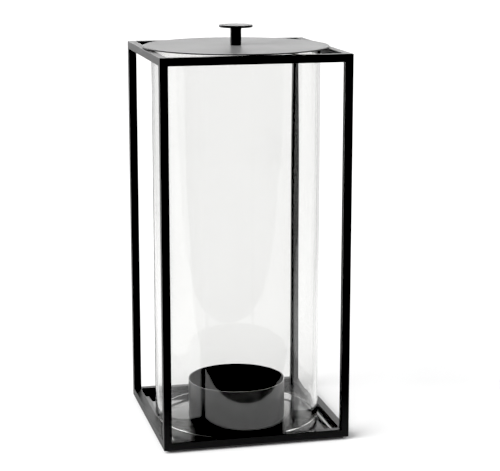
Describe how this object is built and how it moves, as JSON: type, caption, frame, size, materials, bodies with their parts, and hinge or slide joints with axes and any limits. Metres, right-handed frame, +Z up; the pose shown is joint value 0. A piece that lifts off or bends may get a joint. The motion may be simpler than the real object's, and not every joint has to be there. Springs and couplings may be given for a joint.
{
  "type": "candle lantern",
  "caption": "Tall square candle lantern: slim black bar frame round a clear glass cylinder, with a loose round lid, disc knob and low steel candle cup.",
  "frame": {"origin": "middle of the square footprint, on the surface that the felt pads stand on", "axes": "+Z up along the glass, +X to the right and +Y to the back when the front of the frame is faced"},
  "size_m": [0.24, 0.24, 0.5223],
  "materials": {
    "frame_coat": "satin black powder coat with a fine grain",
    "base_coat": "satin black powder coat",
    "lid_coat": "satin black powder coat, smoother on the lid",
    "cup_coat": "satin black coat",
    "clear_glass": "clear, polished, with fire-rounded rims",
    "felt": "black wool felt",
    "zinc_steel": "bright zinc plate"
  },
  "bodies": {
    "frame": {"post_front_left": "frame_coat", "post_front_right": "frame_coat", "post_back_left": "frame_coat", "post_back_right": "frame_coat", "bottom_rail_front": "frame_coat", "bottom_rail_back": "frame_coat", "bottom_rail_left": "frame_coat", "bottom_rail_right": "frame_coat", "top_rail_front": "frame_coat", "top_rail_back": "frame_coat", "top_rail_left": "frame_coat", "top_rail_right": "frame_coat", "base_plate": "base_coat", "glass_ledge_front": "base_coat", "glass_ledge_back": "base_coat", "glass_ledge_left": "base_coat", "glass_ledge_right": "base_coat", "felt_pad_1": "felt", "felt_pad_2": "felt", "felt_pad_3": "felt", "felt_pad_4": "felt"},
    "glass": {"glass_cylinder": "clear_glass"},
    "lid": {"lid_disc": "lid_coat", "lid_tab_1": "lid_coat", "lid_tab_2": "lid_coat", "lid_tab_3": "lid_coat", "knob_stem": "lid_coat", "knob_cap": "lid_coat", "knob_washer": "zinc_steel", "knob_screw": "zinc_steel"},
    "cup": {"candle_cup": "cup_coat"}
  },
  "joints": [
    {"name": "glass_lift", "type": "slide", "parent": "frame", "child": "glass", "axis": [0, 0, 1], "range_m": [0, 0.49]},
    {"name": "lid_lift", "type": "slide", "parent": "glass", "child": "lid", "axis": [0, 0, 1], "range_m": [0, 0.12]},
    {"name": "cup_lift", "type": "slide", "parent": "frame", "child": "cup", "axis": [0, 0, 1], "range_m": [0, 0.42]}
  ]
}
